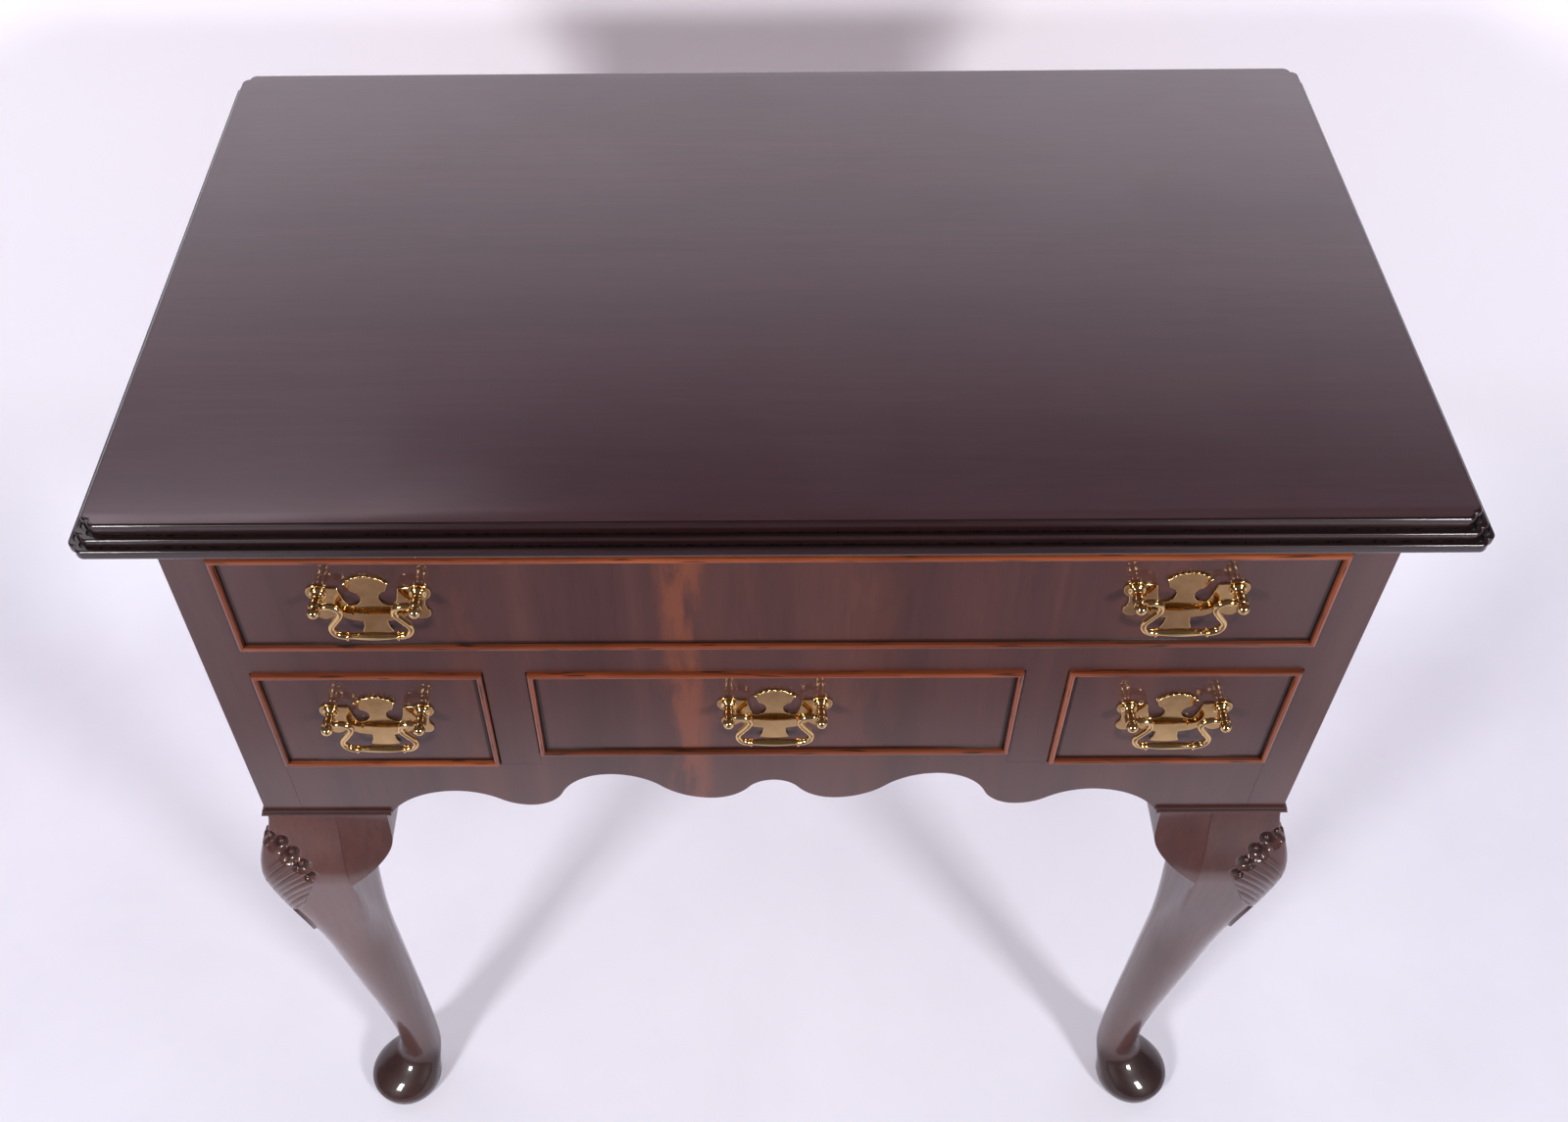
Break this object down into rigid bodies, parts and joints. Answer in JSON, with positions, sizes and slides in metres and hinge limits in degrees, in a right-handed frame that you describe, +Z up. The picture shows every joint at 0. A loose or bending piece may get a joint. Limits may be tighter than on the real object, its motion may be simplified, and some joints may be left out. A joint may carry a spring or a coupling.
{
  "type": "lowboy dressing table",
  "caption": "Small dressing table on cabriole legs with a stepped-edge top, a wide drawer over a row of shorter ones, a scalloped apron and brass swan-neck pulls",
  "frame": {"origin": "on the floor under the middle of the top", "axes": "+X to the right seen from the front, +Y to the back, +Z up"},
  "size_m": [0.71, 0.416, 0.752],
  "materials": {
    "brass": "polished yellow brass, lightly toned in the recesses",
    "cockbead": "orange-brown polished moulded edge",
    "drawer_wood": "pale sanded drawer lining",
    "inner_wood": "plain unfinished secondary wood",
    "leg_wood": "carved solid mahogany, gloss lacquer",
    "steel": "plain wood screws",
    "top_veneer": "polished walnut-brown veneer, lengthwise grain, satin-gloss lacquer",
    "veneer": "polished dark reddish-brown mahogany veneer, gloss lacquer"
  },
  "bodies": {
    "root": {"back_panel": "inner_wood", "corner_blocks": "inner_wood", "drawer_divider_left": "veneer", "drawer_divider_right": "veneer", "drawer_guides": "inner_wood", "drawer_runners": "inner_wood", "drawer_stops": "inner_wood", "dust_board": "inner_wood", "front_apron": "veneer", "front_stile_left": "veneer", "front_stile_right": "veneer", "knee_brackets_front_left": "leg_wood", "knee_brackets_front_right": "leg_wood", "knee_brackets_rear": "leg_wood", "leg_dowels": "inner_wood", "leg_front_left": "leg_wood", "leg_front_right": "leg_wood", "leg_mouldings": "leg_wood", "leg_rear_left": "leg_wood", "leg_rear_right": "leg_wood", "mid_rail": "veneer", "side_panel_left": "veneer", "side_panel_right": "veneer", "top": "top_veneer", "top_battens": "inner_wood", "top_rail": "veneer", "top_screws": "steel"},
    "long_drawer": {"long_drawer_back": "drawer_wood", "long_drawer_bottom": "drawer_wood", "long_drawer_cockbead": "cockbead", "long_drawer_front": "veneer", "long_drawer_pull_plates": "brass", "long_drawer_pull_posts": "brass", "long_drawer_sides": "drawer_wood"},
    "small_left_drawer": {"small_left_drawer_back": "drawer_wood", "small_left_drawer_bottom": "drawer_wood", "small_left_drawer_cockbead": "cockbead", "small_left_drawer_front": "veneer", "small_left_drawer_pull_plates": "brass", "small_left_drawer_pull_posts": "brass", "small_left_drawer_sides": "drawer_wood"},
    "centre_drawer": {"centre_drawer_back": "drawer_wood", "centre_drawer_bottom": "drawer_wood", "centre_drawer_cockbead": "cockbead", "centre_drawer_front": "veneer", "centre_drawer_pull_plates": "brass", "centre_drawer_pull_posts": "brass", "centre_drawer_sides": "drawer_wood"},
    "small_right_drawer": {"small_right_drawer_back": "drawer_wood", "small_right_drawer_bottom": "drawer_wood", "small_right_drawer_cockbead": "cockbead", "small_right_drawer_front": "veneer", "small_right_drawer_pull_plates": "brass", "small_right_drawer_pull_posts": "brass", "small_right_drawer_sides": "drawer_wood"},
    "long_drawer_bail_left": {"long_drawer_bail_left": "brass"},
    "long_drawer_bail_right": {"long_drawer_bail_right": "brass"},
    "small_left_drawer_bail": {"small_left_drawer_bail": "brass"},
    "centre_drawer_bail": {"centre_drawer_bail": "brass"},
    "small_right_drawer_bail": {"small_right_drawer_bail": "brass"}
  },
  "joints": [
    {"name": "long_drawer_slide", "type": "slide", "parent": "root", "child": "long_drawer", "axis": [0, -1, 0], "range_m": [0, 0.26]},
    {"name": "small_left_drawer_slide", "type": "slide", "parent": "root", "child": "small_left_drawer", "axis": [0, -1, 0], "range_m": [0, 0.26]},
    {"name": "centre_drawer_slide", "type": "slide", "parent": "root", "child": "centre_drawer", "axis": [0, -1, 0], "range_m": [0, 0.26]},
    {"name": "small_right_drawer_slide", "type": "slide", "parent": "root", "child": "small_right_drawer", "axis": [0, -1, 0], "range_m": [0, 0.26]},
    {"name": "long_drawer_bail_left_hinge", "type": "hinge", "parent": "long_drawer", "child": "long_drawer_bail_left", "pos_m": [-0.22, -0.1894, 0.674], "axis": [-1, 0, 0], "range_deg": [-12, 160]},
    {"name": "long_drawer_bail_right_hinge", "type": "hinge", "parent": "long_drawer", "child": "long_drawer_bail_right", "pos_m": [0.22, -0.1894, 0.674], "axis": [-1, 0, 0], "range_deg": [-12, 160]},
    {"name": "small_left_drawer_bail_hinge", "type": "hinge", "parent": "small_left_drawer", "child": "small_left_drawer_bail", "pos_m": [-0.23475, -0.1894, 0.5645], "axis": [-1, 0, 0], "range_deg": [-12, 160]},
    {"name": "centre_drawer_bail_hinge", "type": "hinge", "parent": "centre_drawer", "child": "centre_drawer_bail", "pos_m": [0, -0.1894, 0.57], "axis": [-1, 0, 0], "range_deg": [-12, 160]},
    {"name": "small_right_drawer_bail_hinge", "type": "hinge", "parent": "small_right_drawer", "child": "small_right_drawer_bail", "pos_m": [0.23475, -0.1894, 0.5645], "axis": [-1, 0, 0], "range_deg": [-12, 160]}
  ]
}
